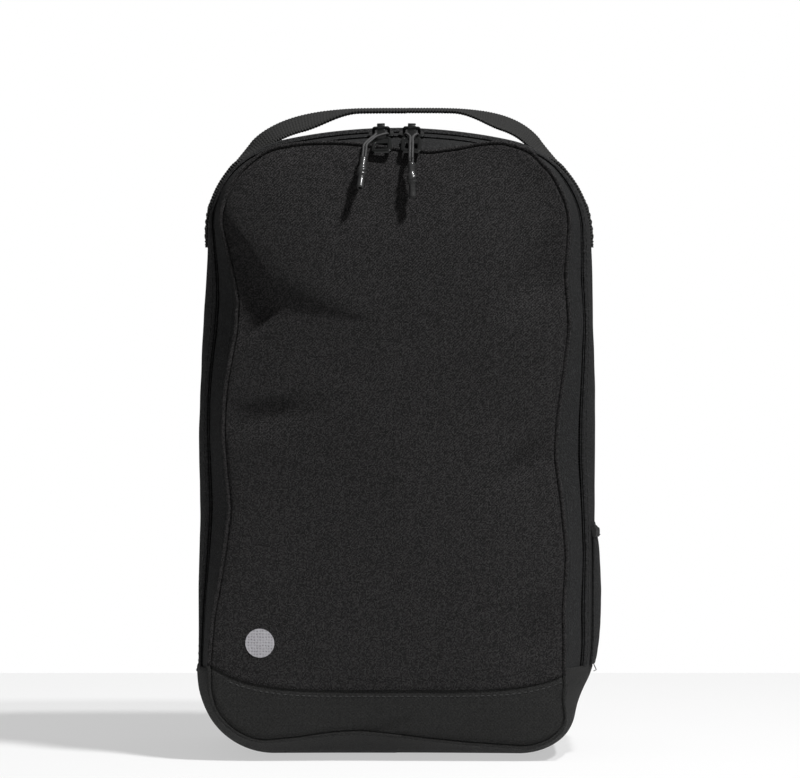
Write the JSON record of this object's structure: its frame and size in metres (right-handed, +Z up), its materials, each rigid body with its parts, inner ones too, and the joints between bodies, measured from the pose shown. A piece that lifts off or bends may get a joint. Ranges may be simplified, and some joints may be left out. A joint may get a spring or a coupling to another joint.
{
  "type": "golf shoe bag",
  "caption": "Upright soft case for a pair of golf shoes, with a wrap-round zipped front flap, a webbing carry handle, a side slip pocket and cord zip pulls.",
  "frame": {"origin": "middle of the flat underside of the base gusset, on the surface that the bag stands on", "axes": "+Z up, -Y out of the front panel, +X toward the pocket side"},
  "size_m": [0.2298, 0.1447, 0.3624],
  "materials": {
    "twill": "fine diagonal twill, charcoal",
    "accent_weave": "coarse ballistic weave, black",
    "gusset_dobby": "fine dobby weave, black",
    "zip_tape": "herringbone tape, black",
    "lining": "plain lining cloth, black",
    "webbing": "ribbed webbing and binding tape, black",
    "coil": "moulded coil, black",
    "slider_enamel": "black enamelled zinc, semi-gloss",
    "pull_cord": "braided cord with a sheen, charcoal",
    "pull_grip": "moulded grip, dark grey, glossy",
    "base_board": "stiffening board, black",
    "emblem_print": "printed emblem, light grey, satin"
  },
  "bodies": {
    "bag": {"back_panel": "twill", "back_lower_panel": "accent_weave", "front_lower_panel": "accent_weave", "rear_gusset": "gusset_dobby", "base_gusset": "accent_weave", "gusset_lining": "lining", "back_lining": "lining", "front_base_binding": "webbing", "back_seam_binding": "webbing", "back_base_binding": "webbing", "base_board": "base_board", "zip_tape_rear": "zip_tape", "zip_coil_rear": "coil", "side_pocket": "gusset_dobby", "pocket_binding": "webbing", "handle_tail_left": "webbing", "handle_tail_right": "webbing"},
    "flap": {"front_panel": "twill", "front_lining": "lining", "front_seam_binding": "webbing", "zip_tape_front": "zip_tape", "zip_coil_front": "coil", "front_emblem": "emblem_print"},
    "slider_left": {"slider_left": "slider_enamel", "slider_bail_left": "slider_enamel"},
    "slider_right": {"slider_right": "slider_enamel", "slider_bail_right": "slider_enamel"},
    "tab_left": {"pull_tab_left": "slider_enamel"},
    "tab_right": {"pull_tab_right": "slider_enamel"},
    "cord_left": {"pull_cord_left": "pull_cord", "pull_grip_left": "pull_grip"},
    "cord_right": {"pull_cord_right": "pull_cord", "pull_grip_right": "pull_grip"},
    "handle": {"handle_strap": "webbing"}
  },
  "joints": [
    {"name": "flap_open", "type": "hinge", "parent": "bag", "child": "flap", "pos_m": [0, -0.0722, 0.05], "axis": [1, 0, 0], "range_deg": [0, 95]},
    {"name": "slider_left_run", "type": "hinge", "parent": "flap", "child": "slider_left", "pos_m": [0, 0, 0.054], "axis": [0, -1, 0], "range_deg": [0, 9]},
    {"name": "slider_right_run", "type": "hinge", "parent": "flap", "child": "slider_right", "pos_m": [0, 0, 0.054], "axis": [0, 1, 0], "range_deg": [0, 9]},
    {"name": "tab_left_swing", "type": "hinge", "parent": "slider_left", "child": "tab_left", "pos_m": [-0.00851, -0.04409, 0.34928], "axis": [-0.9996, 0, -0.0288], "range_deg": [0, 150]},
    {"name": "tab_right_swing", "type": "hinge", "parent": "slider_right", "child": "tab_right", "pos_m": [0.00851, -0.04409, 0.34928], "axis": [-0.9996, 0, 0.0288], "range_deg": [0, 150]},
    {"name": "cord_left_swing", "type": "hinge", "parent": "tab_left", "child": "cord_left", "pos_m": [-0.00836, -0.04916, 0.34414], "axis": [-0.9996, 0, -0.0288], "range_deg": [0, 60]},
    {"name": "cord_right_swing", "type": "hinge", "parent": "tab_right", "child": "cord_right", "pos_m": [0.00836, -0.04916, 0.34414], "axis": [-0.9996, 0, 0.0288], "range_deg": [0, 60]},
    {"name": "handle_sway", "type": "hinge", "parent": "bag", "child": "handle", "pos_m": [0, 0.008, 0.3426], "axis": [1, 0, 0], "range_deg": [-15, 15], "stiffness_Nm_per_rad": 0.02}
  ]
}
